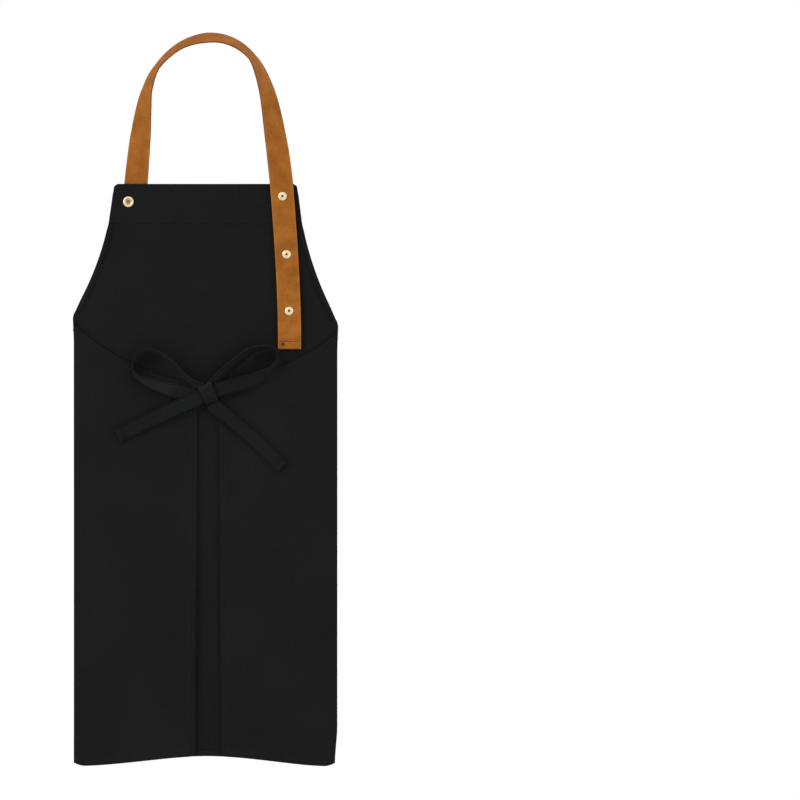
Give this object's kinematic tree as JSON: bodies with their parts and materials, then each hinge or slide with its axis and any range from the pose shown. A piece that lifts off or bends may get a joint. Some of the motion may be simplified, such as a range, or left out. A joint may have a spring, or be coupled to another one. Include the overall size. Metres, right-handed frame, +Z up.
{
  "type": "artist smock apron",
  "caption": "Long bib apron of black cotton twill, hung by an adjustable leather neck strap with press studs, its sides folded back and its waist ties in a bow.",
  "frame": {"origin": "the point inside the neck strap's loop where it hangs on a peg", "axes": "+Z up along the hanging apron, +Y out of the apron's front, +X to the right of somebody looking at the wearer's side"},
  "size_m": [0.344, 0.0366, 0.9594],
  "materials": {
    "twill": "matt cotton twill",
    "suede": "matt, finely mottled",
    "brass": "satin, pale gold"
  },
  "bodies": {
    "neck_strap": {"strap_loop": "suede"},
    "apron_body": {"front_panel": "twill", "bib_facing": "twill", "front_bottom_hem": "twill", "left_armhole_hem": "twill", "right_armhole_hem": "twill", "left_side_fold": "twill", "right_side_fold": "twill", "left_flap": "twill", "left_flap_top_hem": "twill", "left_flap_bottom_hem": "twill", "right_flap": "twill", "right_flap_top_hem": "twill", "right_flap_bottom_hem": "twill", "front_pocket": "twill", "knot_wrap": "twill", "left_bow_loop": "twill", "right_bow_loop": "twill", "left_tie_sewn_end": "twill", "right_tie_sewn_end": "twill", "strap_left_end": "suede", "strap_right_end": "suede", "bib_left_stud": "brass", "bib_left_ring": "brass", "bib_right_stud": "brass", "bib_right_cap": "brass", "strap_left_socket": "brass", "strap_left_cap": "brass", "strap_upper_socket": "brass", "strap_upper_cap": "brass"},
    "hanging_strap_tail": {"strap_tail": "suede", "strap_tail_end_hem": "suede", "strap_middle_socket": "brass", "strap_middle_cap": "brass", "strap_lower_socket": "brass", "strap_lower_cap": "brass"},
    "left_skirt_corner": {"left_corner": "twill", "left_corner_edge_hem": "twill", "left_corner_bottom_hem": "twill"},
    "right_skirt_corner": {"right_corner": "twill", "right_corner_edge_hem": "twill", "right_corner_bottom_hem": "twill"},
    "left_tail": {"left_tie_tail": "twill", "left_tie_tail_hem": "twill"},
    "right_tail": {"right_tie_tail": "twill", "right_tie_tail_hem": "twill"}
  },
  "joints": [
    {"name": "apron_swing", "type": "hinge", "parent": "neck_strap", "child": "apron_body", "pos_m": [0, 0, -0.1815], "axis": [1, 0, 0], "range_deg": [-75, 75]},
    {"name": "strap_tail_lift", "type": "hinge", "parent": "apron_body", "child": "hanging_strap_tail", "pos_m": [0.1016, -0.0061, -0.212], "axis": [-0.9972, 0, -0.0753], "range_deg": [0, 75]},
    {"name": "left_corner_open", "type": "hinge", "parent": "apron_body", "child": "left_skirt_corner", "pos_m": [-0.0115, -0.0033, -0.5055], "axis": [-0.2533, 0, -0.9674], "range_deg": [0, 75]},
    {"name": "right_corner_open", "type": "hinge", "parent": "apron_body", "child": "right_skirt_corner", "pos_m": [0.0185, -0.0033, -0.5055], "axis": [-0.2365, 0, 0.9716], "range_deg": [0, 75]},
    {"name": "left_tail_lift", "type": "hinge", "parent": "apron_body", "child": "left_tail", "pos_m": [-0.00642, -0.0132, -0.46236], "axis": [-0.4226, 0, 0.9063], "range_deg": [0, 60]},
    {"name": "right_tail_lift", "type": "hinge", "parent": "apron_body", "child": "right_tail", "pos_m": [0.0145, -0.0091, -0.4765], "axis": [-0.6691, 0, -0.7431], "range_deg": [0, 60]}
  ]
}
